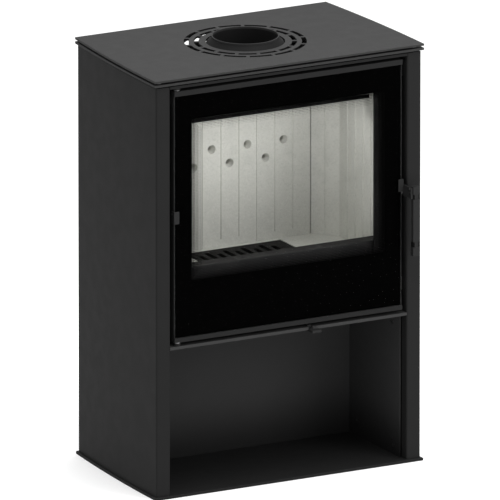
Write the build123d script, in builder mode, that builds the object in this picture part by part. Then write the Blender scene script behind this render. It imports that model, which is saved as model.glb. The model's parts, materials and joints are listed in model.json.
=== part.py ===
from build123d import *
import os

# Free-standing wood burning stove with a glazed door above an open log store.
#
# Frame: millimetres, +Z up, +Y to the back. The origin is on the floor, at the centre of the plates' plan.
# Every piece stands where it is when the door is shut, the handle is down and the air lever is pushed in.

os.makedirs("parts", exist_ok=True)

# ---------------------------------------------------------------- driving dimensions
plate_front_half = 350.0      # half width of the plates along their straight front edge
plate_rear_half = 328.0       # the bowed sides draw in to this at the back
plate_half_depth = 215.5
plate_thickness = 5.0
panel_inset = 5.0             # the side panels stand this far inside the plates' edge
sheet = 3.0                   # casing sheet
stove_height = 996.0          # up to the top plate's upper face
base_thickness = 6.0
panel_top = 977.0
top_gap = 5.0                 # air gap between the two top plates

flange_inner = 308.7          # inner edge of the side panels' front flanges
flange_return = 24.0
panel_bend = 4.0

store_height = 352.0          # underside of the log store's ceiling lip
ceiling_top = 358.4
store_half = 304.0            # inner faces of the log store
store_back = 56.0
liner_sheet = 2.0

door_half = 296.7
door_bottom = 367.5
door_top = 963.6
door_front = -210.0
door_back = -186.0
bottom_bar = 10.3
top_bar = 11.7
glass_half = 295.0
glass_thickness = 4.0
glass_play = 0.2
window_half = 258.0
window_bottom = 500.0
window_top = 897.0

frame_front = -181.7          # the face that the door closes on
frame_thickness = 4.0
frame_half = 296.0
frame_bottom = 359.0
frame_top = 968.0
jamb_half = 238.0             # half width of the fire opening
mouth_bottom = 500.0
mouth_top = 905.0

fire_floor = 490.0            # upper face of the grate and the floor bricks
fire_back = 76.0
fire_back_half = 213.5        # half width of the chamber at its back
chamber_side = 261.0          # half width between the side linings
corner_y = 26.4               # the linings turn diagonally to the back from here
lining = 28.0
board_gap = 0.4               # slack between neighbouring boards
wall = 4.0
floor_plate = 462.0           # underside of the firebox floor plate
fire_top = 936.0              # underside of the firebox top plate

grate_half = 125.0
grate_front = -110.0
grate_back = 62.0

flue_bore = 75.0              # radius of the collar, for a 150 mm pipe
flue_wall = 3.0
flue_top = 1010.0
flue_hole = 91.5
inner_top_hole = 145.0

hinge_x = -285.5
hinge_y = -198.0
pin_radius = 4.0
running_fit = 0.05
door_gap = 0.2                # between faces of the door and of the body that move past each other

latch_y = -197.0              # pivot of the handle, through the door's right edge
latch_z = 645.5
arm_left = 300.5
arm_right = 305.0
grip_right = 323.5
grip_front = -247.0

lever_left = 52.3
lever_width = 9.0
valve_gap = 0.3
valve_rise = 3.7              # two welded rails hold the valve plate this far above the ceiling


def keep(piece, name):
    """Label a finished piece and write it to its own file."""
    piece.part.label = name
    export_step(piece.part, f"parts/{name}.step")


def plan_outline(inset):
    """Plan of the casing: straight front and back, sides that leave the front square and bow inwards."""
    with BuildSketch() as outline:
        with BuildLine():
            front = Line((inset - plate_front_half, inset - plate_half_depth),
                         (plate_front_half - inset, inset - plate_half_depth))
            right = TangentArc(front @ 1, (plate_rear_half - inset, plate_half_depth - inset),
                               tangent=(0, 1))
            back = Line(right @ 1, (inset - plate_rear_half, plate_half_depth - inset))
            TangentArc(front @ 0, back @ 1, tangent=(0, 1))
        make_face()
    return outline.sketch


def corner_half(y):
    """Half width of the fire chamber at y, between the diagonal corners."""
    slope = (fire_back_half - chamber_side) / (fire_back - corner_y)
    return chamber_side + slope * (y - corner_y)


def baffle_profile(slack):
    """Side view of the lower baffle with some slack over it and at its ends, cut plumb at the rear."""
    with BuildSketch() as profile:
        with Locations(Location((fire_back, baffle_low, 0), (0, 0, -baffle_slope))):
            Rectangle(baffle_length + slack, baffle_thickness + slack, align=(Align.MAX, Align.MIN))
        with Locations((fire_back - board_gap + slack, baffle_low)):
            Rectangle(30, 100, align=(Align.MIN, Align.CENTER), mode=Mode.SUBTRACT)
    return profile.sketch


def spacer_places():
    """Six places round the casing, over the side panels' top flanges."""
    return [(side * x, y) for side in (-1, 1) for x, y in ((331, -196), (329, 0), (314, 196))]


# ---------------------------------------------------------------- casing plates
with BuildPart() as base_plate:
    with BuildSketch():
        add(plan_outline(0))
    extrude(amount=base_thickness)
    chamfer(base_plate.edges().group_by(Axis.Z)[-1], 0.5)
keep(base_plate, "base_plate")

inner_top_z = stove_height - 2 * plate_thickness - top_gap
with BuildPart() as inner_top_plate:
    with BuildSketch(Plane.XY.offset(inner_top_z)):
        add(plan_outline(0))
        Circle(inner_top_hole, mode=Mode.SUBTRACT)
    extrude(amount=plate_thickness)
keep(inner_top_plate, "inner_top_plate")

# Two rings of slots let warm air rise round the flue. The rings are half a slot out of step.
slot_count = 14
slot_bridge = 8.0
with BuildPart() as top_plate:
    with BuildSketch(Plane.XY.offset(stove_height - plate_thickness)):
        add(plan_outline(0))
        Circle(flue_hole, mode=Mode.SUBTRACT)
        for ring_inner, ring_outer, first in ((107.5, 119.0, 0.5), (130.0, 141.5, 0.0)):
            with BuildSketch(mode=Mode.SUBTRACT):
                Circle(ring_outer)
                Circle(ring_inner, mode=Mode.SUBTRACT)
                with PolarLocations((ring_inner + ring_outer) / 2, slot_count,
                                    start_angle=90 + first * 360 / slot_count):
                    Rectangle(ring_outer - ring_inner + 6, slot_bridge, mode=Mode.SUBTRACT)
    extrude(amount=plate_thickness)
    chamfer(top_plate.faces().sort_by(Axis.Z)[-1].outer_wire().edges(), 0.5)
keep(top_plate, "top_plate")

with BuildPart() as plate_spacers:
    for low, high in ((panel_top, inner_top_z),
                      (inner_top_z + plate_thickness, stove_height - plate_thickness)):
        with BuildSketch(Plane.XY.offset(low)):
            with Locations(*spacer_places()):
                Circle(7)
        extrude(amount=high - low)
keep(plate_spacers, "plate_spacers")

# ---------------------------------------------------------------- side and rear panels
panel_front = panel_inset - plate_half_depth
with BuildPart() as right_side_panel:
    with BuildSketch(Plane.XY.offset(base_thickness)):
        add(plan_outline(panel_inset))
        add(plan_outline(panel_inset + sheet), mode=Mode.SUBTRACT)
        with Locations((flange_inner, 0)):
            Rectangle(2 * plate_front_half, 3 * plate_half_depth, align=(Align.MAX, Align.CENTER),
                      mode=Mode.SUBTRACT)
        with Locations((flange_inner, panel_front)):
            Rectangle(sheet, flange_return, align=(Align.MIN, Align.MIN))
    extrude(amount=panel_top - base_thickness)
    with BuildSketch(Plane.XY.offset(panel_top - sheet)):
        add(plan_outline(panel_inset))
        add(plan_outline(panel_inset + 20), mode=Mode.SUBTRACT)
        with Locations((flange_inner, 0)):
            Rectangle(2 * plate_front_half, 3 * plate_half_depth, align=(Align.MAX, Align.CENTER),
                      mode=Mode.SUBTRACT)
    extrude(amount=sheet)
    front_bends = right_side_panel.edges().filter_by(Axis.Z).group_by(Axis.Y)[0]
    fillet(front_bends, panel_bend)
keep(right_side_panel, "right_side_panel")

with BuildPart() as left_side_panel:
    mirror(right_side_panel.part, about=Plane.YZ)
keep(left_side_panel, "left_side_panel")

rear_flange = plate_half_depth - panel_inset - sheet
rear_half = 317.0
screw_heights = (60, 490, 920)
with BuildPart() as rear_panel:
    with BuildSketch(Plane.XZ.offset(-rear_flange)):
        with Locations((0, base_thickness)):
            Rectangle(2 * rear_half, panel_top - sheet - base_thickness, align=(Align.CENTER, Align.MIN))
        with Locations((0, 953)):
            with GridLocations(112, 1, 3, 1):
                SlotOverall(100, 22, mode=Mode.SUBTRACT)
        with Locations((0, 400)):
            with GridLocations(60, 26, 7, 3):
                SlotOverall(44, 10, mode=Mode.SUBTRACT)
    extrude(amount=liner_sheet)
keep(rear_panel, "rear_panel")

with BuildPart() as front_crossbar:
    with BuildSketch(Plane.YZ.offset(-flange_inner)):
        with Locations((panel_front, panel_top)):
            Rectangle(24, sheet, align=(Align.MIN, Align.MAX))
            Rectangle(sheet, 6, align=(Align.MIN, Align.MAX))
    extrude(amount=2 * flange_inner)
keep(front_crossbar, "front_crossbar")

# ---------------------------------------------------------------- log store
with BuildPart() as store_ceiling:
    with BuildSketch(Plane.YZ.offset(-flange_inner)):
        with Locations((panel_front, ceiling_top)):
            Rectangle(store_back + 40 - panel_front, sheet, align=(Align.MIN, Align.MAX))
            Rectangle(sheet, ceiling_top - store_height, align=(Align.MIN, Align.MAX))
    extrude(amount=2 * flange_inner)
    with BuildSketch(Plane.XY.offset(ceiling_top)):
        with Locations((lever_left - 1.3, panel_front - 1)):
            Rectangle(lever_width + 2.6, 16, align=(Align.MIN, Align.MIN))
    extrude(amount=-10, mode=Mode.SUBTRACT)
    with BuildSketch(Plane.XY.offset(ceiling_top)):
        with Locations((-131, -45), (131, -45)):
            Rectangle(20, 250)
    extrude(amount=valve_rise)
keep(store_ceiling, "store_ceiling")

liner_top = ceiling_top - sheet
with BuildPart() as store_side_walls:
    for side in (-1, 1):
        with BuildSketch(Plane.XY.offset(base_thickness)):
            with Locations((side * (store_half + liner_sheet / 2), (store_back - 186) / 2)):
                Rectangle(liner_sheet, store_back + 186)
        extrude(amount=liner_top - base_thickness)
keep(store_side_walls, "store_side_walls")

with BuildPart() as store_back_wall:
    with BuildSketch(Plane.XY.offset(base_thickness)):
        with Locations((0, store_back)):
            Rectangle(2 * (store_half + liner_sheet), liner_sheet, align=(Align.CENTER, Align.MIN))
    extrude(amount=liner_top - base_thickness)
keep(store_back_wall, "store_back_wall")

with BuildPart() as casing_screws:
    for side in (-1, 1):
        with BuildSketch(Plane.XZ.offset(-(rear_flange + sheet))):
            with Locations(*[(side * 313.5, z) for z in screw_heights]):
                RegularPolygon(4.5, 6)
        extrude(amount=-2.5)
        with BuildSketch(Plane.YZ.offset(side * store_half)):
            with Locations((-148, 321), (-148, 44), (-154, 27), (20, 321), (20, 44)):
                Circle(3.5)
        extrude(amount=-side * 1.5)
keep(casing_screws, "casing_screws")

with BuildPart() as casing_brackets:
    for side in (-1, 1):
        with BuildSketch(Plane.XZ.offset(-(frame_front + frame_thickness))):
            with Locations((side * 317.5, 420), (side * 317.5, 930)):
                Rectangle(47, 30)
        extrude(amount=-sheet)
keep(casing_brackets, "casing_brackets")

# ---------------------------------------------------------------- firebox steelwork
frame_rear = frame_front + frame_thickness
# The front is two plates, butt-welded below the mouth.
frame_joint = 470.0
with BuildPart() as firebox_front_frame:
    with BuildSketch(Plane.XZ.offset(-frame_rear)):
        with Locations((0, frame_joint)):
            Rectangle(2 * frame_half, frame_top - frame_joint, align=(Align.CENTER, Align.MIN))
        with Locations((0, (mouth_bottom + mouth_top) / 2)):
            RectangleRounded(2 * jamb_half, mouth_top - mouth_bottom, 4, mode=Mode.SUBTRACT)
    extrude(amount=frame_thickness)
keep(firebox_front_frame, "firebox_front_frame")

with BuildPart() as ash_front:
    with BuildSketch(Plane.XZ.offset(-frame_rear)):
        with Locations((0, frame_bottom)):
            Rectangle(2 * frame_half, frame_joint - frame_bottom, align=(Align.CENTER, Align.MIN))
        with Locations((0, 410)):
            Rectangle(240, 76, mode=Mode.SUBTRACT)
        with Locations((lever_left + lever_width / 2, frame_bottom)):
            Rectangle(lever_width + 6, 7, mode=Mode.SUBTRACT)
    extrude(amount=frame_thickness)
keep(ash_front, "ash_front")

steel_back = fire_back + lining
steel_half = chamber_side + lining
fire_walls_z = floor_plate + wall
for side, name in ((-1, "firebox_left_wall"), (1, "firebox_right_wall")):
    with BuildPart() as fire_wall:
        with BuildSketch(Plane.XY.offset(fire_walls_z)):
            with Locations((side * (steel_half + wall / 2), frame_rear)):
                Rectangle(wall, steel_back - frame_rear, align=(Align.CENTER, Align.MIN))
        extrude(amount=fire_top - fire_walls_z)
    keep(fire_wall, name)

# Air jets: lower row on the centre line, upper row between them, a plain hole behind each dimple.
jet_pitch = 94.0
jet_radius = 6.0
jet_mouth = 10.3
jets = [(n * jet_pitch, 687) for n in (-1, 0, 1)] + [((n + 0.5) * jet_pitch, 725) for n in (-2, -1, 0, 1)]
with BuildPart() as firebox_back_wall:
    with BuildSketch(Plane.XZ.offset(-steel_back)):
        with Locations((0, fire_walls_z)):
            Rectangle(2 * (steel_half + wall), fire_top - fire_walls_z, align=(Align.CENTER, Align.MIN))
        with Locations(*jets):
            Circle(jet_radius + 1, mode=Mode.SUBTRACT)
    extrude(amount=-wall)
keep(firebox_back_wall, "firebox_back_wall")

with BuildPart() as secondary_air_duct:
    with BuildSketch(Plane.XZ.offset(-(steel_back + wall))):
        with Locations((0, 706)):
            Rectangle(380, 110)
    extrude(amount=-24)
    with BuildSketch(Plane.XZ.offset(-(steel_back + wall))):
        with Locations((0, 706)):
            Rectangle(376, 106)
    extrude(amount=-22, mode=Mode.SUBTRACT)
    with BuildSketch(Plane.XY.offset(652)):
        with Locations((0, steel_back + wall + 11)):
            Rectangle(200, 14)
    extrude(amount=-3, both=True, mode=Mode.SUBTRACT)
keep(secondary_air_duct, "secondary_air_duct")

floor_hole_half = grate_half - 8
with BuildPart() as firebox_floor:
    with BuildSketch(Plane.XY.offset(floor_plate)):
        with Locations((0, frame_rear)):
            Rectangle(2 * (steel_half + wall), steel_back + wall - frame_rear,
                      align=(Align.CENTER, Align.MIN))
        with Locations((0, (grate_front + grate_back) / 2)):
            Rectangle(2 * floor_hole_half, grate_back - grate_front - 16, mode=Mode.SUBTRACT)
    extrude(amount=wall)
keep(firebox_floor, "firebox_floor")

with BuildPart() as firebox_top:
    with BuildSketch(Plane.XY.offset(fire_top)):
        with Locations((0, frame_rear)):
            Rectangle(2 * (steel_half + wall), steel_back + wall - frame_rear,
                      align=(Align.CENTER, Align.MIN))
        Circle(flue_bore - 3, mode=Mode.SUBTRACT)
    extrude(amount=wall)
keep(firebox_top, "firebox_top")

# The pipe slides down the bore to the edge of the firebox top. A sloping skirt fills the plate's hole.
collar_bolt_ring = 89.0
skirt_radius = 90.0
skirt_low = stove_height - 3
skirt_high = stove_height + 9
with BuildPart() as flue_collar:
    for low, high, outer in ((fire_top + wall, fire_top + 2 * wall, 100),
                             (fire_top + wall, flue_top, flue_bore + flue_wall),
                             (stove_height - 11, skirt_low, skirt_radius)):
        with BuildSketch(Plane.XY.offset(low)):
            Circle(outer)
        extrude(amount=high - low)
    with Locations((0, 0, skirt_low)):
        Cone(skirt_radius, flue_bore + flue_wall, skirt_high - skirt_low,
             align=(Align.CENTER, Align.CENTER, Align.MIN))
    with BuildSketch(Plane.XY.offset(fire_top + wall)):
        Circle(flue_bore)
    extrude(amount=flue_top - fire_top, mode=Mode.SUBTRACT)
    fillet(flue_collar.edges().filter_by(GeomType.CIRCLE).group_by(Axis.Z)[-1], 0.8)
keep(flue_collar, "flue_collar")

with BuildPart() as collar_bolts:
    with BuildSketch(Plane.XY.offset(fire_top + 2 * wall)):
        with PolarLocations(collar_bolt_ring, 4, start_angle=45):
            RegularPolygon(6.5, 6)
    extrude(amount=5)
keep(collar_bolts, "collar_bolts")

# ---------------------------------------------------------------- refractory lining
# The lower baffle slides into a sloping groove in each side board.
lining_top = 905.0
flute_pitch = 37.7
flute_radius = 3.5
corner_flute = 1.8
corner_gap = 2.0
baffle_half = chamber_side + 8
baffle_slope = 16.04
baffle_thickness = 8.0
baffle_length = 200.0
baffle_low = 799.0
for side, name in ((-1, "lining_left"), (1, "lining_right")):
    with BuildPart() as side_lining:
        with BuildSketch(Plane.XY.offset(fire_walls_z)):
            Polygon((side * chamber_side, frame_rear), (side * steel_half, frame_rear),
                    (side * steel_half, steel_back), (side * fire_back_half, steel_back),
                    (side * fire_back_half, fire_back), (side * chamber_side, corner_y), align=None)
            with Locations(*[(side * chamber_side, -13 - n * flute_pitch) for n in range(4)]):
                Circle(flute_radius, mode=Mode.SUBTRACT)
            with Locations((side * (chamber_side + fire_back_half) / 2, (corner_y + fire_back) / 2)):
                Circle(corner_flute, mode=Mode.SUBTRACT)
        extrude(amount=lining_top - fire_walls_z)
        with BuildSketch(Plane.YZ.offset(side * (baffle_half + board_gap))):
            add(baffle_profile(board_gap))
        extrude(amount=-side * 80, mode=Mode.SUBTRACT)
    keep(side_lining, name)

board_joint = 70.5
groove_radius = 2.0
back_boards = {
    "lining_back_left": (corner_gap - fire_back_half, -board_joint, (-164.6, -117.5)),
    "lining_back_centre": (-board_joint, board_joint, (-23.5, 23.5)),
    "lining_back_right": (board_joint, fire_back_half - corner_gap, (117.5, 164.6)),
}
for name, (left, right, grooves) in back_boards.items():
    with BuildPart() as back_board:
        with BuildSketch(Plane.XY.offset(fire_walls_z)):
            with Locations(((left + right) / 2, fire_back)):
                Rectangle(right - left - 2 * board_gap, lining, align=(Align.CENTER, Align.MIN))
        extrude(amount=lining_top - fire_walls_z)
        with BuildSketch(Plane.XY.offset(fire_floor + 17)):
            with Locations(*[(x, fire_back) for x in grooves]):
                Circle(groove_radius)
        extrude(amount=lining_top - fire_floor, mode=Mode.SUBTRACT)
        for x, z in jets:
            if left < x < right:
                with Locations(Plane(origin=(x, fire_back, z), x_dir=(1, 0, 0), z_dir=(0, -1, 0))):
                    CounterSinkHole(jet_radius, jet_mouth, depth=lining, counter_sink_angle=40)
    keep(back_board, name)

brick_gap = 2.5
brick_joint = 1.0
guard_back = -138.0
guard_front = -176.0
with BuildPart() as floor_bricks:
    with BuildSketch(Plane.XY.offset(fire_walls_z)):
        for side in (-1, 1):
            Polygon((side * (grate_half + brick_gap), guard_back + brick_gap),
                    (side * (chamber_side - 1), guard_back + brick_gap),
                    (side * (chamber_side - 1), corner_y),
                    (side * (corner_half(fire_back - board_gap) - 1), fire_back - board_gap),
                    (side * (grate_half + brick_gap), fire_back - board_gap), align=None)
        for low, high in ((grate_back + brick_gap, fire_back - board_gap),
                          (guard_back + brick_gap, grate_front - brick_gap)):
            with Locations((0, (low + high) / 2)):
                Rectangle(2 * (grate_half + brick_gap - brick_joint), high - low)
    extrude(amount=fire_floor - fire_walls_z)
    chamfer(floor_bricks.edges().group_by(Axis.Z)[-1], 1)
keep(floor_bricks, "floor_bricks")

# The smoke goes forward under the lower baffle, back over it and forward again over the upper one.
with BuildPart() as lower_baffle:
    with BuildSketch(Plane.YZ.offset(-baffle_half)):
        add(baffle_profile(0))
    extrude(amount=2 * baffle_half)
keep(lower_baffle, "lower_baffle")

with BuildPart() as upper_baffle:
    with BuildSketch(Plane.XY.offset(lining_top)):
        with Locations((0, frame_rear)):
            Rectangle(2 * (chamber_side + 20), 206, align=(Align.CENTER, Align.MIN))
    extrude(amount=sheet)
keep(upper_baffle, "upper_baffle")

with BuildPart() as airwash_deflector:
    with BuildSketch(Plane.YZ.offset(-(jamb_half - 6))):
        with Locations((frame_rear, 897)):
            Rectangle(24, liner_sheet, align=(Align.MIN, Align.MAX))
        with Locations((frame_rear + 24, 897)):
            Rectangle(liner_sheet, 10, align=(Align.MAX, Align.MAX))
    extrude(amount=2 * (jamb_half - 6))
keep(airwash_deflector, "airwash_deflector")

guard_top = 532.0
guard_half = chamber_side - 0.7
with BuildPart() as log_guard:
    with BuildSketch(Plane.YZ.offset(-guard_half)):
        Polygon((guard_front, fire_walls_z), (guard_front, guard_top), (guard_back, guard_top),
                (guard_back, fire_floor - 20), (guard_back - wall, fire_floor - 20),
                (guard_back - wall, guard_top - wall), (guard_front + wall, guard_top - wall),
                (guard_front + wall, fire_walls_z), align=None)
    extrude(amount=2 * guard_half)
    fillet(log_guard.edges().filter_by(Axis.X).group_by(Axis.Z)[-1], 2.5)
keep(log_guard, "log_guard")

# ---------------------------------------------------------------- grate, ash pan and air valve
grate_depth = grate_back - grate_front
grate_plate = 10.0
grate_slot_pitch = 23.5
with BuildPart() as grate:
    with BuildSketch(Plane.XY.offset(fire_walls_z)):
        with Locations((0, (grate_front + grate_back) / 2)):
            Rectangle(2 * grate_half, grate_depth)
    extrude(amount=fire_floor - fire_walls_z)
    with BuildSketch(Plane.XY.offset(fire_walls_z)):
        with Locations((0, (grate_front + grate_back) / 2)):
            Rectangle(2 * (grate_half - 8), grate_depth - 16)
    extrude(amount=fire_floor - fire_walls_z - grate_plate, mode=Mode.SUBTRACT)
    with BuildSketch(Plane.XY.offset(fire_floor)):
        for n in range(9):
            slot_x = -104 + n * grate_slot_pitch
            slot_far = 26 if n % 2 == 0 else 43
            with Locations((slot_x, (slot_far + grate_front + 18) / 2)):
                SlotOverall(slot_far - grate_front - 18, 12.5, rotation=90)
    extrude(amount=-grate_plate, mode=Mode.SUBTRACT)
    chamfer(grate.faces().sort_by(Axis.Z)[-1].outer_wire().edges(), 1)
keep(grate, "grate")

ash_half = 200.0
valve_bottom = ceiling_top + valve_rise
valve_top = valve_bottom + wall
pan_bottom = valve_top + 8
with BuildPart() as ash_box:
    with BuildSketch(Plane.XY.offset(valve_top)):
        with Locations((0, frame_rear)):
            Rectangle(2 * ash_half, steel_back - frame_rear, align=(Align.CENTER, Align.MIN))
            Rectangle(2 * (ash_half - sheet), steel_back - frame_rear - sheet,
                      align=(Align.CENTER, Align.MIN), mode=Mode.SUBTRACT)
    extrude(amount=floor_plate - valve_top)
keep(ash_box, "ash_box")

port_depth = 24.0
port_pitch = 60.0
valve_travel = port_pitch / 2
with BuildPart() as valve_plate:
    with BuildSketch(Plane.XY.offset(valve_bottom)):
        with Locations((0, frame_rear)):
            Rectangle(2 * ash_half, steel_back - frame_rear, align=(Align.CENTER, Align.MIN))
        with Locations((0, -105), (0, -105 + port_pitch)):
            Rectangle(140, port_depth, mode=Mode.SUBTRACT)
    extrude(amount=wall)
    with BuildSketch(Plane.XY.offset(valve_top)):
        with Locations((-100, -50), (100, -50)):
            Rectangle(10, 240)
    extrude(amount=pan_bottom - valve_top)
keep(valve_plate, "valve_plate")

slider_bottom = ceiling_top + valve_gap
slider_top = valve_bottom - valve_gap
with BuildPart() as air_slider:
    with BuildSketch(Plane.XY.offset(slider_bottom)):
        with Locations((0, -138)):
            Rectangle(240, 160, align=(Align.CENTER, Align.MIN))
        with Locations((0, -105 + valve_travel), (0, -105 + valve_travel + port_pitch)):
            Rectangle(140, port_depth, mode=Mode.SUBTRACT)
    extrude(amount=slider_top - slider_bottom)
keep(air_slider, "air_slider")

# The lever steps down through the notch in the ceiling's lip and ends in a finger tab.
lever_step = -203.0
tab_top = 354.0
tab_thickness = 6.0
with BuildPart() as air_lever:
    with BuildSketch(Plane.YZ.offset(lever_left)):
        Polygon((-138, slider_top), (lever_step, slider_top), (lever_step, tab_top),
                (-214, tab_top), (-214, tab_top - tab_thickness), (lever_step + 4, tab_top - tab_thickness),
                (lever_step + 4, slider_bottom), (-138, slider_bottom), align=None)
    extrude(amount=lever_width)
    with BuildSketch(Plane.XY.offset(tab_top)):
        with Locations((lever_left, -214)):
            Rectangle(24, 14, align=(Align.MIN, Align.MAX))
    extrude(amount=-tab_thickness)
    fillet(air_lever.edges().filter_by(Axis.Z).group_by(Axis.Y)[0], 2)
keep(air_lever, "air_lever")

with BuildPart() as ash_pan:
    with BuildSketch(Plane.XY.offset(pan_bottom)):
        with Locations((0, -50)):
            Rectangle(228, 236)
    extrude(amount=64)
    with BuildSketch(Plane.XY.offset(pan_bottom + 1.5)):
        with Locations((0, -50)):
            Rectangle(225, 233)
    extrude(amount=64, mode=Mode.SUBTRACT)
    with BuildSketch(Plane.XZ.offset(168)):
        with Locations((0, pan_bottom + 40)):
            RectangleRounded(80, 24, 6)
            RectangleRounded(66, 10, 4, mode=Mode.SUBTRACT)
    extrude(amount=6)
keep(ash_pan, "ash_pan")

# ---------------------------------------------------------------- hinges and latch on the body
lug_half = 9.0
lower_lug_bottom = ceiling_top + 1
lower_lug_top = 364.4
upper_lug_bottom = 966.0
with BuildPart() as hinge_lugs:
    for lug_z, lug_height in ((lower_lug_bottom, lower_lug_top - lower_lug_bottom), (upper_lug_bottom, 4)):
        with BuildSketch(Plane.XY.offset(lug_z)):
            with Locations((hinge_x, hinge_y)):
                Circle(lug_half)
            with Locations((hinge_x, frame_front)):
                Rectangle(2 * lug_half, frame_front - hinge_y, align=(Align.CENTER, Align.MAX))
            with Locations((hinge_x, hinge_y)):
                Circle(pin_radius, mode=Mode.SUBTRACT)
        extrude(amount=lug_height)
keep(hinge_lugs, "hinge_lugs")

bottom_bar_top = door_bottom + bottom_bar
top_bar_bottom = door_top - top_bar
with BuildPart() as hinge_pins:
    with BuildSketch(Plane.XY.offset(lower_lug_bottom)):
        with Locations((hinge_x, hinge_y)):
            Circle(pin_radius)
    extrude(amount=bottom_bar_top - lower_lug_bottom)
    with BuildSketch(Plane.XY.offset(top_bar_bottom)):
        with Locations((hinge_x, hinge_y)):
            Circle(pin_radius)
    extrude(amount=upper_lug_bottom + 4 - top_bar_bottom)
keep(hinge_pins, "hinge_pins")

# The roller sits just above the latch tongue of the handle arm.
roller_y = -174.0
roller_z = 670.4
roller_radius = 5.0
with BuildPart() as latch_bracket:
    with BuildSketch(Plane.XZ.offset(-frame_rear)):
        with Locations((302.5, 684)):
            Rectangle(19, 12)
    extrude(amount=-sheet)
    with BuildSketch(Plane.YZ.offset(309)):
        with Locations((frame_rear, 664)):
            Rectangle(12, 26, align=(Align.MIN, Align.MIN))
    extrude(amount=sheet)
    with BuildSketch(Plane.YZ.offset(309)):
        with Locations((roller_y, roller_z)):
            Circle(2.5)
    extrude(amount=sheet, mode=Mode.SUBTRACT)
keep(latch_bracket, "latch_bracket")

with BuildPart() as latch_roller:
    with BuildSketch(Plane.YZ.offset(312)):
        with Locations((roller_y, roller_z)):
            Circle(2.5)
    extrude(amount=-12)
    with BuildSketch(Plane.YZ.offset(308.5)):
        with Locations((roller_y, roller_z)):
            Circle(roller_radius)
    extrude(amount=-8.5)
keep(latch_roller, "latch_roller")

# ---------------------------------------------------------------- door
glass_back = door_front + glass_thickness
web_front = glass_back + 2
with BuildPart() as door_frame:
    with BuildSketch(Plane.XY.offset(door_bottom)):
        with Locations((0, (door_front + door_back) / 2)):
            Rectangle(2 * door_half, door_back - door_front)
    extrude(amount=door_top - door_bottom)
    with BuildSketch(Plane.XZ.offset(-glass_back)):
        with Locations((0, bottom_bar_top)):
            Rectangle(2 * door_half + 2, top_bar_bottom - bottom_bar_top, align=(Align.CENTER, Align.MIN))
    extrude(amount=2 * glass_thickness, mode=Mode.SUBTRACT)
    with BuildSketch(Plane.XZ.offset(-web_front)):
        with Locations((0, bottom_bar_top)):
            Rectangle(2 * (door_half - sheet), top_bar_bottom - bottom_bar_top,
                      align=(Align.CENTER, Align.MIN))
    extrude(amount=2, mode=Mode.SUBTRACT)
    with BuildSketch(Plane.XZ.offset(-(web_front + sheet))):
        with Locations((0, bottom_bar_top)):
            Rectangle(2 * (door_half - sheet), top_bar_bottom - bottom_bar_top,
                      align=(Align.CENTER, Align.MIN))
    extrude(amount=-30, mode=Mode.SUBTRACT)
    with BuildSketch(Plane.XZ.offset(-web_front + 1)):
        with Locations((0, (window_bottom + window_top) / 2)):
            RectangleRounded(2 * window_half, window_top - window_bottom, 6)
    extrude(amount=-10, mode=Mode.SUBTRACT)
    for bar_z, bar_height in ((door_bottom, bottom_bar), (top_bar_bottom, top_bar)):
        with BuildSketch(Plane.XY.offset(bar_z)):
            with Locations((hinge_x, hinge_y)):
                Circle(6)
        extrude(amount=bar_height, mode=Mode.SUBTRACT)
    with BuildSketch(Plane.YZ.offset(door_half - 10)):
        with Locations((latch_y, latch_z)):
            Circle(pin_radius)
    extrude(amount=20, mode=Mode.SUBTRACT)
    with BuildSketch(Plane.YZ.offset(-door_half - 5)):
        with Locations((-200, 672)):
            Circle(2.5)
    extrude(amount=2 * door_half + 10, mode=Mode.SUBTRACT)
    rear_corners = door_frame.edges().filter_by(Axis.Z).filter_by(
        lambda edge: edge.center().Y > door_back - 0.1 and abs(edge.center().X) > door_half - 0.1)
    fillet(rear_corners, 2.5)
keep(door_frame, "door_frame")

with BuildPart() as door_glass:
    with BuildSketch(Plane.XZ.offset(-glass_back)):
        with Locations((0, (bottom_bar_top + top_bar_bottom) / 2)):
            RectangleRounded(2 * glass_half, top_bar_bottom - bottom_bar_top - 2 * glass_play, 1.5)
    extrude(amount=glass_thickness)
keep(door_glass, "door_glass")

seal_mid_z = (bottom_bar_top + top_bar_bottom) / 2
with BuildPart() as glass_gasket:
    with BuildSketch(Plane.XZ.offset(-web_front)):
        with Locations((0, seal_mid_z)):
            RectangleRounded(580, 560, 8)
        with Locations((0, (window_bottom + window_top) / 2)):
            RectangleRounded(2 * window_half + 6, window_top - window_bottom + 6, 8, mode=Mode.SUBTRACT)
    extrude(amount=2)
keep(glass_gasket, "glass_gasket")

seal_half = 273.0
seal_height = 552.0
channel_width = 18.0
web_rear = web_front + sheet
with BuildPart() as seal_channel:
    with BuildSketch(Plane.XZ.offset(-web_rear)):
        with Locations((0, seal_mid_z)):
            RectangleRounded(2 * seal_half + channel_width, seal_height + channel_width, 14)
            RectangleRounded(2 * seal_half - channel_width, seal_height - channel_width, 6,
                             mode=Mode.SUBTRACT)
    extrude(amount=-13)
    with BuildSketch(Plane.XZ.offset(-(web_rear + 2))):
        with Locations((0, seal_mid_z)):
            RectangleRounded(2 * seal_half + channel_width - 4, seal_height + channel_width - 4, 12)
            RectangleRounded(2 * seal_half - channel_width + 4, seal_height - channel_width + 4, 8,
                             mode=Mode.SUBTRACT)
    extrude(amount=-20, mode=Mode.SUBTRACT)
keep(seal_channel, "seal_channel")

rope_back = frame_front - 0.4
with BuildPart() as rope_seal:
    with BuildSketch(Plane.XZ.offset(-(web_rear + 2))):
        with Locations((0, seal_mid_z)):
            RectangleRounded(2 * seal_half + 13, seal_height + 13, 11)
            RectangleRounded(2 * seal_half - 13, seal_height - 13, 8, mode=Mode.SUBTRACT)
    extrude(amount=-(rope_back - web_rear - 2))
    fillet(rope_seal.faces().sort_by(Axis.Y)[-1].edges(), 4)
keep(rope_seal, "rope_seal")

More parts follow.
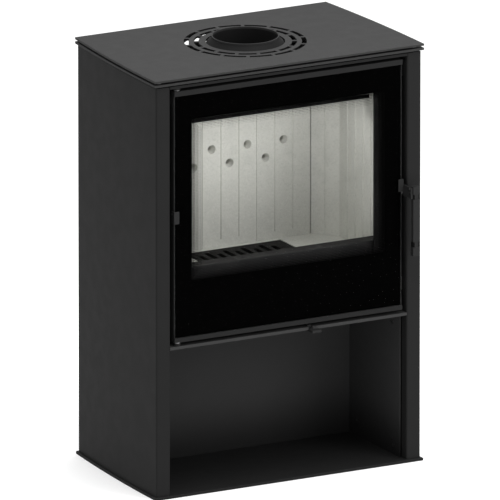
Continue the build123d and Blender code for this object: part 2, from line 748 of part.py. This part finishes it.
clip_low = 650.0
clip_height = 29.0
with BuildPart() as glass_clips:
    for side in (-1, 1):
        with BuildSketch(Plane.XY.offset(clip_low)):
            with Locations((side * (door_half + 1.2), door_front - 1)):
                Rectangle(12, 2, align=(Align.MAX if side > 0 else Align.MIN, Align.CENTER))
            with Locations((side * (door_half + 1.1), -203.5)):
                Rectangle(2, 17)
        extrude(amount=clip_height)
        with BuildSketch(Plane.YZ.offset(side * (door_half - 1))):
            with Locations((-200, 672)):
                Circle(2.5)
        extrude(amount=side * 10, mode=Mode.SUBTRACT)
keep(glass_clips, "glass_clips")

with BuildPart() as glass_clip_screws:
    for side in (-1, 1):
        with BuildSketch(Plane.YZ.offset(side * (door_half - 5))):
            with Locations((-200, 672)):
                Circle(2.5)
        extrude(amount=side * 7)
keep(glass_clip_screws, "glass_clip_screws")

with BuildPart() as hinge_bushes:
    for low, high, outer in (
            (door_bottom, bottom_bar_top, 6), (lower_lug_top + door_gap, door_bottom, 7.5),
            (top_bar_bottom, door_top, 6), (door_top, upper_lug_bottom - door_gap, 7.5)):
        with BuildSketch(Plane.XY.offset(low)):
            with Locations((hinge_x, hinge_y)):
                Circle(outer)
                Circle(pin_radius + running_fit, mode=Mode.SUBTRACT)
        extrude(amount=high - low)
keep(hinge_bushes, "hinge_bushes")

with BuildPart() as handle_pivot_pin:
    with BuildSketch(Plane.YZ.offset(door_half - 9)):
        with Locations((latch_y, latch_z)):
            Circle(pin_radius)
    extrude(amount=arm_right + 0.3 - door_half + 9)
    with BuildSketch(Plane.YZ.offset(arm_right + 0.3)):
        with Locations((latch_y, latch_z)):
            Circle(6.5)
    extrude(amount=1.6)
keep(handle_pivot_pin, "handle_pivot_pin")

# ---------------------------------------------------------------- handle
arm_low = 638.6
arm_high = 664.5
bush_radius = 6.0
with BuildPart() as handle_arm:
    with BuildSketch(Plane.YZ.offset(arm_left)):
        Polygon((-244, arm_low), (-186, arm_low), (-167, 650), (-167, 661), (-180, arm_high),
                (-244, arm_high), align=None)
        with Locations((latch_y, latch_z)):
            Circle(bush_radius, mode=Mode.SUBTRACT)
    extrude(amount=arm_right - arm_left)
    fillet(handle_arm.edges().filter_by(Axis.X).filter_by(
        lambda edge: edge.center().Y > -185 and edge.center().Y < -160), 3)
keep(handle_arm, "handle_arm")

with BuildPart() as handle_bush:
    with BuildSketch(Plane.YZ.offset(arm_left - 1.4)):
        with Locations((latch_y, latch_z)):
            Circle(bush_radius)
            Circle(pin_radius + running_fit, mode=Mode.SUBTRACT)
    extrude(amount=arm_right - arm_left + 1.4)
keep(handle_bush, "handle_bush")

rod_x = (arm_right + grip_right) / 2
rod_y = grip_front + 5.5
rod_radius = 2.5
grip_width = grip_right - arm_right
handle_low = 502.0
handle_high = 667.0
grip_low = 536.0
grip_high = 637.0
upper_block_low = 649.0
lower_block_high = 523.0
for name, spans, depth, corner in (
        ("handle_end_blocks", ((upper_block_low, handle_high), (handle_low, lower_block_high)), 13.0, 1.0),
        ("handle_grip", ((grip_low, grip_high),), 10.0, 1.6)):
    with BuildPart() as grip_piece:
        for low, high in spans:
            with BuildSketch(Plane.XY.offset(low)):
                with Locations((arm_right, grip_front)):
                    Rectangle(grip_width, depth, align=(Align.MIN, Align.MIN))
            extrude(amount=high - low)
        fillet(grip_piece.edges().filter_by(Axis.Z), corner)
        with BuildSketch(Plane.XY.offset(handle_low)):
            with Locations((rod_x, rod_y)):
                Circle(rod_radius)
        extrude(amount=handle_high - handle_low, mode=Mode.SUBTRACT)
    keep(grip_piece, name)

# The core is one rod with a square neck at each gap between the grip and the end blocks.
neck_width = 9.5
necks = ((grip_high, upper_block_low), (lower_block_high, grip_low))
with BuildPart() as handle_core:
    with BuildSketch(Plane.XY.offset(handle_low)):
        with Locations((rod_x, rod_y)):
            Circle(rod_radius)
    extrude(amount=handle_high - handle_low)
    for low, high in necks:
        with BuildSketch(Plane.XY.offset(low)):
            with Locations((rod_x, grip_front + 1)):
                Rectangle(neck_width, 8, align=(Align.CENTER, Align.MIN))
        extrude(amount=high - low)
keep(handle_core, "handle_core")

with BuildPart() as handle_insulators:
    for low, high in necks:
        with BuildSketch(Plane.XY.offset(low)):
            with Locations((rod_x, grip_front + 3)):
                Rectangle(grip_width - 1, 8, align=(Align.CENTER, Align.MIN))
                Rectangle(neck_width, 6, align=(Align.CENTER, Align.MIN), mode=Mode.SUBTRACT)
        extrude(amount=high - low)
keep(handle_insulators, "handle_insulators")

with BuildPart() as handle_screws:
    with BuildSketch(Plane.YZ.offset(arm_left)):
        with Locations((-238.5, 653.5), (-238.5, 661.5)):
            Circle(2.5)
    extrude(amount=-1.5)
keep(handle_screws, "handle_screws")
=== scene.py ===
import json
import math

import bmesh
import bpy
from mathutils import Matrix, Vector


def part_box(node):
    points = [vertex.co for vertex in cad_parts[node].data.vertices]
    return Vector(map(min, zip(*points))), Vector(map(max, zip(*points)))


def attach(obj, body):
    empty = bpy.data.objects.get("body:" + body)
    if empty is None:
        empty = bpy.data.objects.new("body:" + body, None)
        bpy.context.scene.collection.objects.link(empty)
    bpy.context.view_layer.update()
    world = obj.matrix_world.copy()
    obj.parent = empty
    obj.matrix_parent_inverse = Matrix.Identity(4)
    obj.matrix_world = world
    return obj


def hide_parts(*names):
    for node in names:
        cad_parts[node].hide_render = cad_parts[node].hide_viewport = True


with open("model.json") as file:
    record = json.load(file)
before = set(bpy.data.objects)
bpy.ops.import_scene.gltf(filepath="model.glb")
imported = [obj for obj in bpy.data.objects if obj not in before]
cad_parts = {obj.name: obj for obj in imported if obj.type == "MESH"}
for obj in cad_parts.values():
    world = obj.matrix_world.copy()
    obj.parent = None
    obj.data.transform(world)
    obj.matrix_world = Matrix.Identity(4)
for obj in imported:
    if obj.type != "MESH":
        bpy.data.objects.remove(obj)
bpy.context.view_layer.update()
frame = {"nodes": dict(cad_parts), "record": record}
NODES = frame["nodes"]
MM = 0.001


# ---------------------------------------------------------------- material nodes
class Shade:
    """One procedural material, with short calls for the nodes that its pattern is made of."""

    def __init__(self, name, roughness, metallic, specular):
        self.material = bpy.data.materials.new(name)
        self.material.use_nodes = True
        self.tree = self.material.node_tree
        self.shader = self.tree.nodes["Principled BSDF"]
        self.shader.inputs["Roughness"].default_value = roughness
        self.shader.inputs["Metallic"].default_value = metallic
        self.shader.inputs["Specular IOR Level"].default_value = specular
        self.place = self.tree.nodes.new("ShaderNodeTexCoord").outputs["Object"]
        self.normal = None

    def node(self, kind, values=(), **settings):
        made = self.tree.nodes.new(kind)
        for key, value in settings.items():
            setattr(made, key, value)
        for key, value in dict(values).items():
            if isinstance(value, bpy.types.NodeSocket):
                self.tree.links.new(value, made.inputs[key])
            else:
                made.inputs[key].default_value = value
        return made

    def stretched(self, x, y, z):
        return self.node("ShaderNodeMapping", {"Vector": self.place, "Scale": (x, y, z)}).outputs[0]

    def noise(self, scale, detail=2.0, vector=None, distortion=0.0):
        values = {"Vector": vector or self.place, "Scale": scale, "Detail": detail,
                  "Distortion": distortion}
        return self.node("ShaderNodeTexNoise", values).outputs["Fac"]

    def cells(self, scale, out="Distance"):
        return self.node("ShaderNodeTexVoronoi", {"Vector": self.place, "Scale": scale}).outputs[out]

    def span(self, value, low, high, to_low=0.0, to_high=1.0):
        values = {0: value, 1: low, 2: high, 3: to_low, 4: to_high}
        return self.node("ShaderNodeMapRange", values, interpolation_type="SMOOTHSTEP").outputs[0]

    def calc(self, operation, a, b=0.0):
        return self.node("ShaderNodeMath", {0: a, 1: b}, operation=operation).outputs[0]

    def mix(self, factor, a, b):
        made = self.node("ShaderNodeMix", {0: factor}, data_type="RGBA")
        for index, colour in ((6, a), (7, b)):
            if isinstance(colour, bpy.types.NodeSocket):
                self.tree.links.new(colour, made.inputs[index])
            else:
                made.inputs[index].default_value = (*colour, 1.0)
        return made.outputs[2]

    def axis(self, name):
        split = self.node("ShaderNodeSeparateXYZ", {0: self.place})
        return split.outputs[name]

    def bump(self, height, strength, distance):
        values = {"Height": height, "Strength": strength, "Distance": distance}
        if self.normal is not None:
            values["Normal"] = self.normal
        self.normal = self.node("ShaderNodeBump", values).outputs[0]

    def edges(self, radius):
        """1 along the sharp outer edges, 0 on the faces."""
        rounded = self.node("ShaderNodeBevel", {"Radius": radius}, samples=4).outputs[0]
        flat = self.node("ShaderNodeNewGeometry").outputs["Normal"]
        turned = self.node("ShaderNodeVectorMath", {0: rounded, 1: flat}, operation="DOT_PRODUCT")
        return self.span(self.calc("SUBTRACT", 1.0, turned.outputs["Value"]), 0.005, 0.08)

    def finish(self, colour=None, roughness=None, alpha=None):
        for name, socket in (("Base Color", colour), ("Roughness", roughness), ("Alpha", alpha),
                             ("Normal", self.normal)):
            if socket is not None:
                self.tree.links.new(socket, self.shader.inputs[name])
        return self.material


def grey(level, warm=0.0):
    """Linear grey of a sRGB level, a little warmer or cooler."""
    c = level / 255
    c = c / 12.92 if c <= 0.04045 else ((c + 0.055) / 1.055) ** 2.4
    return (c * (1 + warm), c, c * (1 - warm))


def painted(name, level, rough=0.66, specular=0.07, recess_shade=None, foot_shade=None):
    """Sprayed stove paint: a fine dry grain, faint clouds, and lighter edges that are partly rubbed paint
    and partly a painted highlight.

    recess_shade is a radius round the flue and a height below which the metal is darkened: painted shade
    in the top's slots and under the flue collar.
    foot_shade is the height below which the paint darkens towards the floor: painted shade in the log
    store.
    """
    s = Shade(name, rough, 0.0, specular)
    clouds = s.noise(5.0, 4.0, distortion=0.4)
    base = s.mix(s.span(clouds, 0.3, 0.7), grey(level * 0.992), grey(level * 1.008))
    speck = s.span(s.noise(900.0, 1.0), 0.62, 0.75)
    base = s.mix(s.calc("MULTIPLY", speck, 0.25), base, grey(level * 1.3))
    # Lighter sharp edges: partly rubbed paint, partly a painted highlight where the edges catch the light.
    rub_and_highlight = s.calc("MULTIPLY", s.edges(1.0 * MM), s.span(s.noise(60.0, 3.0), 0.35, 0.7))
    base = s.mix(s.calc("MULTIPLY", rub_and_highlight, 0.45), base, grey(level * 1.7 + 14, 0.02))
    # Painted shade: the paint darkens towards the floor below this height.
    if foot_shade:
        base = s.mix(s.span(s.axis("Z"), foot_shade, 0.0), base, grey(level * 0.5))
    # Painted shade: within the radius round the flue and below the height, the metal is darkened as if in
    # shade.
    if recess_shade:
        recess_shade_radius, recess_shade_height = recess_shade
        flat = s.node("ShaderNodeMapping", {"Vector": s.place, "Scale": (1, 1, 0)}).outputs[0]
        away = s.node("ShaderNodeVectorMath", {0: flat}, operation="LENGTH").outputs["Value"]
        below = s.span(s.axis("Z"), recess_shade_height + 0.3 * MM, recess_shade_height - 0.3 * MM)
        near = s.calc("MULTIPLY", s.calc("LESS_THAN", away, recess_shade_radius), below)
        base = s.mix(near, base, grey(level * 0.4))
    s.bump(s.noise(1400.0, 2.0), 0.12, 0.2 * MM)
    return s.finish(base, s.span(s.noise(30.0, 3.0), 0.3, 0.7, rough - 0.02, rough + 0.03))


def scorched(name, level):
    """Bare firebox plate darkened by heat: mill scale in patches, faintly warm, with fine pits."""
    s = Shade(name, 0.65, 0.2, 0.12)
    scale = s.span(s.noise(22.0, 5.0, distortion=0.8), 0.35, 0.65)
    base = s.mix(scale, grey(level * 0.88, 0.0), grey(level * 1.1, 0.015))
    pits = s.span(s.cells(260.0), 0.0, 0.25)
    base = s.mix(pits, grey(level * 0.7, 0.03), base)
    base = s.mix(s.calc("MULTIPLY", s.edges(1.0 * MM), 0.35), base, grey(level * 1.6 + 8, 0.03))
    s.bump(pits, 0.12, 0.3 * MM)
    s.bump(s.noise(600.0, 3.0), 0.15, 0.2 * MM)
    return s.finish(base, s.span(scale, 0.0, 1.0, 0.55, 0.75))


def vermiculite(name, level):
    """Pressed vermiculite board: grains of all sizes, mica flecks, and patches that are darker towards the
    bottom over the middle of the fire.
    """
    def board(factor):
        r, g, b = grey(min(level * factor, 250))
        return (r, g * 1.004, b * 0.93)

    s = Shade(name, 0.9, 0.0, 0.1)
    clouds = s.span(s.noise(14.0, 4.0), 0.3, 0.7)
    base = s.mix(clouds, board(0.985), board(1.015))
    low = s.span(s.axis("Z"), 0.82, 0.5)
    middle = s.span(s.calc("ABSOLUTE", s.axis("X")), 0.255, 0.2)
    patches = s.span(s.noise(7.0, 4.0), 0.2, 0.8, 0.85, 1.0)
    low_middle_patches = s.calc("MULTIPLY", s.calc("MULTIPLY", low, middle), patches)
    base = s.mix(low_middle_patches, base, board(0.93))
    grains = s.cells(330.0, out="Color")
    split = s.node("ShaderNodeSeparateColor", {0: grains}).outputs[0]
    base = s.mix(s.calc("MULTIPLY", s.span(split, 0.72, 0.95), 0.2), base, board(0.8))
    base = s.mix(s.calc("MULTIPLY", s.span(split, 0.28, 0.05), 0.18), base, board(1.08))
    fine = s.noise(900.0, 2.0)
    base = s.mix(s.calc("MULTIPLY", s.span(fine, 0.6, 0.75), 0.15), base, board(0.78))
    s.bump(s.cells(330.0), 0.25, 0.5 * MM)
    s.bump(fine, 0.2, 0.3 * MM)
    return s.finish(base, s.span(fine, 0.3, 0.7, 0.82, 0.97))


def cast(name, level):
    """Sand-cast iron: coarse skin, darker in its hollows and rubbed grey along its edges."""
    s = Shade(name, 0.7, 0.3, 0.2)
    skin = s.noise(240.0, 4.0, distortion=0.3)
    base = s.mix(s.span(skin, 0.35, 0.7), grey(level * 0.8, 0.03), grey(level * 1.15, 0.01))
    base = s.mix(s.calc("MULTIPLY", s.edges(1.2 * MM), 0.5), base, grey(level * 1.7, 0.0))
    s.bump(skin, 0.4, 0.8 * MM)
    s.bump(s.cells(420.0), 0.15, 0.4 * MM)
    return s.finish(base, s.span(skin, 0.3, 0.7, 0.6, 0.85))


def machined(name, level):
    """Bare steel with fine tool lines and a few dull patches."""
    rough = 0.38
    s = Shade(name, rough, 1.0, 0.5)
    lines = s.noise(1.0, 3.0, s.stretched(40.0, 40.0, 1400.0))
    base = s.mix(s.span(lines, 0.3, 0.7), grey(level * 0.9), grey(level * 1.08))
    dull = s.span(s.noise(35.0, 4.0), 0.45, 0.7)
    base = s.mix(s.calc("MULTIPLY", dull, 0.35), base, grey(level * 0.75, 0.02))
    base = s.mix(s.calc("MULTIPLY", s.edges(0.5 * MM), 0.4), base, grey(min(level * 1.3, 240)))
    s.bump(lines, 0.1, 0.1 * MM)
    return s.finish(base, s.span(dull, 0.0, 1.0, rough, rough + 0.15))


def galvanised(name, level):
    """Zinc-coated sheet with its crystal spangle."""
    s = Shade(name, 0.4, 0.85, 0.5)
    spangle = s.node("ShaderNodeSeparateColor", {0: s.cells(110.0, out="Color")}).outputs[1]
    base = s.mix(spangle, grey(level * 0.88, -0.01), grey(level * 1.08, -0.01))
    ash = s.span(s.noise(18.0, 5.0), 0.5, 0.75)
    base = s.mix(s.calc("MULTIPLY", ash, 0.3), base, grey(level * 0.7, 0.02))
    s.bump(s.noise(300.0, 2.0), 0.08, 0.2 * MM)
    return s.finish(base, s.span(spangle, 0.0, 1.0, 0.32, 0.5))


def woven_tape(name, level):
    """Flat glass-fibre tape: a plain weave."""
    s = Shade(name, 0.95, 0.0, 0.1)
    across = s.calc("SINE", s.calc("MULTIPLY", s.axis("X"), 2600.0))
    along = s.calc("SINE", s.calc("MULTIPLY", s.axis("Z"), 2600.0))
    weave = s.calc("MULTIPLY", across, along)
    base = s.mix(s.span(weave, -0.6, 0.6), grey(level * 0.7), grey(level * 1.2))
    s.bump(weave, 0.4, 0.4 * MM)
    return s.finish(base, s.span(s.noise(80.0), 0.3, 0.7, 0.88, 1.0))


def fibre(name, level):
    """Graphited glass-fibre yarn: fine strands with loose lighter hairs."""
    s = Shade(name, 0.95, 0.0, 0.1)
    strands = s.noise(1.0, 3.0, s.stretched(900.0, 900.0, 900.0), distortion=1.5)
    base = s.mix(s.span(strands, 0.35, 0.65), grey(level * 0.7, 0.02), grey(level * 1.25, 0.02))
    hair = s.span(s.noise(260.0, 4.0, distortion=3.0), 0.66, 0.72)
    base = s.mix(s.calc("MULTIPLY", hair, 0.4), base, grey(level * 1.9, 0.03))
    s.bump(strands, 0.5, 0.4 * MM)
    return s.finish(base, s.span(strands, 0.3, 0.7, 0.85, 1.0))


def pane(name):
    """Clear ceramic glass with a thin haze in patches."""
    s = Shade(name, 0.03, 0.0, 0.02)
    haze = s.span(s.noise(9.0, 5.0, distortion=0.6), 0.45, 0.8)
    base = s.mix(haze, grey(3, 0.05), grey(6, 0.04))
    return s.finish(base, s.span(haze, 0.0, 1.0, 0.03, 0.09), s.span(haze, 0.0, 1.0, 0.05, 0.085))


def enamel(name):
    """Black ceramic print on the back of the glass."""
    s = Shade(name, 0.4, 0.0, 0.004)
    grain = s.noise(700.0, 2.0)
    base = s.mix(grain, (0.0002, 0.0002, 0.0002), (0.0004, 0.0004, 0.0004))
    s.bump(grain, 0.05, 0.1 * MM)
    return s.finish(base, s.span(grain, 0.3, 0.7, 0.3, 0.42))


def moulded(name, level):
    """Heat-resistant moulding: a fine spark-eroded texture with dulled corners."""
    s = Shade(name, 0.6, 0.0, 0.05)
    texture = s.cells(1300.0)
    base = s.mix(s.span(texture, 0.1, 0.5), grey(level * 0.8), grey(level * 1.2))
    base = s.mix(s.calc("MULTIPLY", s.edges(0.4 * MM), 0.4), base, grey(level * 2.2))
    s.bump(texture, 0.2, 0.1 * MM)
    return s.finish(base, s.span(texture, 0.1, 0.6, 0.55, 0.7))


LOOKS = {
    "casing_steel": painted("stove_paint_casing", 27),
    # Painted shade in the slots round the flue.
    "top_steel": painted("stove_paint_top", 44, recess_shade=(0.145, 0.9952)),
    "door_steel": painted("stove_paint_door", 28),
    # Painted shade: the log store's walls darken towards its floor.
    "store_steel": painted("stove_paint_store", 48, foot_shade=0.15),
    "firebox_steel": scorched("heat_dark_steel", 36),
    # Painted shade under the flue collar's skirt.
    "flue_steel": painted("stove_paint_flue", 36, recess_shade=(0.102, 1.0052)),
    "galvanised_steel": galvanised("zinc_sheet", 150),
    "ceramic_glass": pane("ceramic_glass"),
    "vermiculite": vermiculite("vermiculite_board", 202),
    "grate_iron": cast("cast_grate", 27),
    "rope": fibre("rope_yarn", 52),
    "gasket": woven_tape("gasket_tape", 60),
    "handle_steel": painted("handle_paint", 29, rough=0.55, specular=0.1),
    "insulator": moulded("black_moulding", 5),
    "screw_steel": machined("blackened_steel", 88),
}
BARE = machined("turned_steel", 150)
ENAMEL = enamel("black_enamel")
OWN = {"hinge_pins": BARE, "hinge_bushes": BARE, "latch_roller": BARE, "handle_pivot_pin": BARE,
       "handle_bush": BARE}

slot_of = {p["node"]: p["material_slot"] for p in frame["record"]["subparts"]}
for node, piece in NODES.items():
    piece.data.materials.clear()
    piece.data.materials.append(OWN.get(node) or LOOKS[slot_of[node]])


# ---------------------------------------------------------------- pieces
def new_piece(name, mesh, body, material, stands_for=()):
    """Wrap finished mesh data as a piece that rides on a body."""
    data = bpy.data.meshes.new(name)
    mesh.to_mesh(data)
    mesh.free()
    piece = bpy.data.objects.new(name, data)
    bpy.context.scene.collection.objects.link(piece)
    data.materials.append(material)
    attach(piece, body)
    if stands_for:
        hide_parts(*stands_for)
    return piece


def rounded_frame(half_x, low_z, high_z, radius, steps):
    """Corner-rounded rectangle as (x, z) points, anticlockwise from the lower right."""
    points = []
    for cx, cz, start in ((half_x - radius, low_z + radius, -90), (half_x - radius, high_z - radius, 0),
                          (radius - half_x, high_z - radius, 90), (radius - half_x, low_z + radius, 180)):
        for n in range(steps + 1):
            a = math.radians(start + 90 * n / steps)
            points.append((cx + radius * math.cos(a), cz + radius * math.sin(a)))
    return points


# The print on the glass: a solid border, then rows of dots that shrink towards the clear middle.
glass_low, glass_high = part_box("door_glass")
print_back = glass_high.y - 0.02 * MM
print_front = print_back - 0.08 * MM
WINDOW_HALF, WINDOW_LOW, WINDOW_HIGH = 252 * MM, 511 * MM, 893 * MM
DOT_ROWS, DOT_PITCH, DOT_SIDES = 8, 3.6 * MM, 8
DOT_WIDEST, DOT_SHRINK = 1.72 * MM, 1.25 * MM          # along the top and the bottom
SIDE_DOT_WIDEST, SIDE_DOT_SHRINK = 1.8 * MM, 0.9 * MM
mesh = bmesh.new()
outer = rounded_frame(glass_high.x - 1 * MM, glass_low.z + 1 * MM, glass_high.z - 1 * MM, 2 * MM, 6)
inner = rounded_frame(WINDOW_HALF, WINDOW_LOW, WINDOW_HIGH, 5 * MM, 6)
section = ((outer, print_front), (inner, print_front), (inner, print_back), (outer, print_back))
rings = [[mesh.verts.new((x, y, z)) for x, z in ring] for ring, y in section]
count = len(outer)
for a, b in ((0, 1), (1, 2), (2, 3), (3, 0)):
    for n in range(count):
        m = (n + 1) % count
        mesh.faces.new((rings[a][n], rings[a][m], rings[b][m], rings[b][n]))


def dot(x, z, radius):
    """An eight-sided spot of print."""
    turns = [math.tau * k / DOT_SIDES for k in range(DOT_SIDES)]
    corners = [(x + radius * math.cos(t), z + radius * math.sin(t)) for t in turns]
    front = [mesh.verts.new((cx, print_front, cz)) for cx, cz in corners]
    back = [mesh.verts.new((cx, print_back, cz)) for cx, cz in corners]
    mesh.faces.new(front)
    mesh.faces.new(back[::-1])
    for k in range(DOT_SIDES):
        m = (k + 1) % DOT_SIDES
        mesh.faces.new((front[k], back[k], back[m], front[m]))


for row in range(DOT_ROWS):
    inward = row / (DOT_ROWS - 1)
    size = DOT_WIDEST - DOT_SHRINK * inward
    side_size = SIDE_DOT_WIDEST - SIDE_DOT_SHRINK * inward
    inset = (row + 0.55) * DOT_PITCH
    shift = 0.25 * (row % 2)
    half = WINDOW_HALF - inset
    low, high = WINDOW_LOW + inset, WINDOW_HIGH - inset
    columns = int((high - low) / DOT_PITCH)
    for n in range(columns + 1):
        z = low + (n + shift) * (high - low) / columns
        for side in (-1, 1):
            dot(side * half, min(z, high), side_size)
    columns = int(2 * half / DOT_PITCH)
    for n in range(1, columns):
        x = -half + (n + shift) * 2 * half / columns
        dot(x, low, size)
        dot(x, high, size)
bmesh.ops.recalc_face_normals(mesh, faces=mesh.faces)
new_piece("glass_print", mesh, "door", ENAMEL)

# The door's rope seal: a braided tube laid in its channel, as deep and as wide as the CAD ring.
seal_low, seal_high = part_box("rope_seal")
ROPE_HALF, ROPE_BEND = 6.5 * MM, 9.5 * MM
BRAID_PITCH, BRAID_STRANDS, BRAID_DEPTH = 9 * MM, 4, 0.13
RING_POINTS, RING_STEP = 24, 1.5 * MM
seal_middle = (seal_high.y + seal_low.y) / 2
seal_half_depth = (seal_high.y - seal_low.y) / 2
middle_line = rounded_frame(seal_high.x - ROPE_HALF, seal_low.z + ROPE_HALF, seal_high.z - ROPE_HALF,
                            ROPE_BEND, 12)
route = [Vector((x, seal_middle, z)) for x, z in middle_line]
runs = [(b - a).length for a, b in zip(route, route[1:] + route[:1])]
ring_count = round(sum(runs) / RING_STEP)
braid_turns = round(sum(runs) / BRAID_PITCH)
mesh = bmesh.new()
rings = []
run, passed = 0, 0.0
for n in range(ring_count):
    along = n * sum(runs) / ring_count
    while along > passed + runs[run]:
        passed += runs[run]
        run += 1
    heading = (route[(run + 1) % len(route)] - route[run]).normalized()
    centre = route[run] + heading * (along - passed)
    outward = Vector((heading.z, 0.0, -heading.x))
    wave = math.cos(math.tau * braid_turns * n / ring_count)
    ring = []
    for k in range(RING_POINTS):
        turn = math.tau * k / RING_POINTS
        swell = 1 - BRAID_DEPTH * (0.5 - 0.5 * math.cos(BRAID_STRANDS * turn) * wave)
        ring.append(mesh.verts.new(centre + outward * (ROPE_HALF * swell * math.cos(turn))
                                   + Vector((0.0, seal_half_depth * swell * math.sin(turn), 0.0))))
    rings.append(ring)
for a, b in zip(rings, rings[1:] + rings[:1]):
    for k in range(RING_POINTS):
        m = (k + 1) % RING_POINTS
        mesh.faces.new((a[k], a[m], b[m], b[k])).smooth = True
bmesh.ops.recalc_face_normals(mesh, faces=mesh.faces)
new_piece("rope_seal_braid", mesh, "door", LOOKS["rope"], ("rope_seal",))


# ---------------------------------------------------------------- stage, lights and camera
FLOOR_HALF = 40.0
floor_mesh = bpy.data.meshes.new("floor")
floor_corners = [(x * FLOOR_HALF, y * FLOOR_HALF, 0) for x, y in ((-1, -1), (1, -1), (1, 1), (-1, 1))]
floor_mesh.from_pydata(floor_corners, [], [(0, 1, 2, 3)])
floor = bpy.data.objects.new("floor", floor_mesh)
floor.location.z = -0.0006
bpy.context.scene.collection.objects.link(floor)
pale = Shade("pale_floor", 0.95, 0.0, 0.1)
tone = pale.mix(pale.span(pale.noise(0.8, 2.0), 0.3, 0.7), (0.83, 0.83, 0.83), (0.85, 0.85, 0.85))
pale.shader.inputs["Emission Color"].default_value = (1.0, 1.0, 1.0, 1.0)
pale.shader.inputs["Emission Strength"].default_value = 0.18
floor_mesh.materials.append(pale.finish(tone))

world = bpy.data.worlds.new("studio")
bpy.context.scene.world = world
world.use_nodes = True
backdrop = world.node_tree.nodes["Background"]
backdrop.inputs["Color"].default_value = (1.0, 1.0, 1.0, 1.0)
backdrop.inputs["Strength"].default_value = 1.0


def area_light(name, place, target, width, height, power):
    """A rectangular soft light that shines from its place to a target."""
    data = bpy.data.lights.new(name, "AREA")
    data.shape = "RECTANGLE"
    data.size, data.size_y, data.energy = width, height, power
    lamp = bpy.data.objects.new(name, data)
    lamp.location = place
    direction = Vector(target) - Vector(place)
    lamp.rotation_euler = direction.to_track_quat("-Z", "Y").to_euler()
    bpy.context.scene.collection.objects.link(lamp)
    return lamp


area_light("overhead", (0.2, -0.3, 3.2), (0, 0, 0.6), 2.6, 2.6, 100)
area_light("key", (1.9, -3.0, 2.0), (0, 0, 0.55), 1.6, 1.6, 55)

# A small hidden light under the baffle shows the fire chamber's lining.
chamber_light = area_light("chamber", (0, -0.125, 0.822), (0, 0.06, 0.6), 0.42, 0.06, 0.33)
chamber_light.visible_camera = False
chamber_light.visible_glossy = False

# The view is nearly parallel, so the camera is far away behind a very long lens.
LENS = 1650.0
AZIMUTH, ELEVATION, DISTANCE = math.radians(-28.405), math.radians(15.788), 52.735
aim = Vector((12.31 * MM, 0.0, 495.71 * MM))
away = Vector((math.sin(AZIMUTH) * math.cos(ELEVATION), -math.cos(AZIMUTH) * math.cos(ELEVATION),
               math.sin(ELEVATION)))
camera_data = bpy.data.cameras.new("camera")
camera_data.lens = LENS
camera_data.sensor_width = 36.0
camera_data.clip_start, camera_data.clip_end = 1.0, 120.0
camera = bpy.data.objects.new("camera", camera_data)
camera.location = aim + away * DISTANCE
camera.rotation_euler = (-away).to_track_quat("-Z", "Y").to_euler()
bpy.context.scene.collection.objects.link(camera)
bpy.context.scene.camera = camera

scene = bpy.context.scene
scene.view_settings.view_transform = "Standard"
scene.view_settings.look = "None"
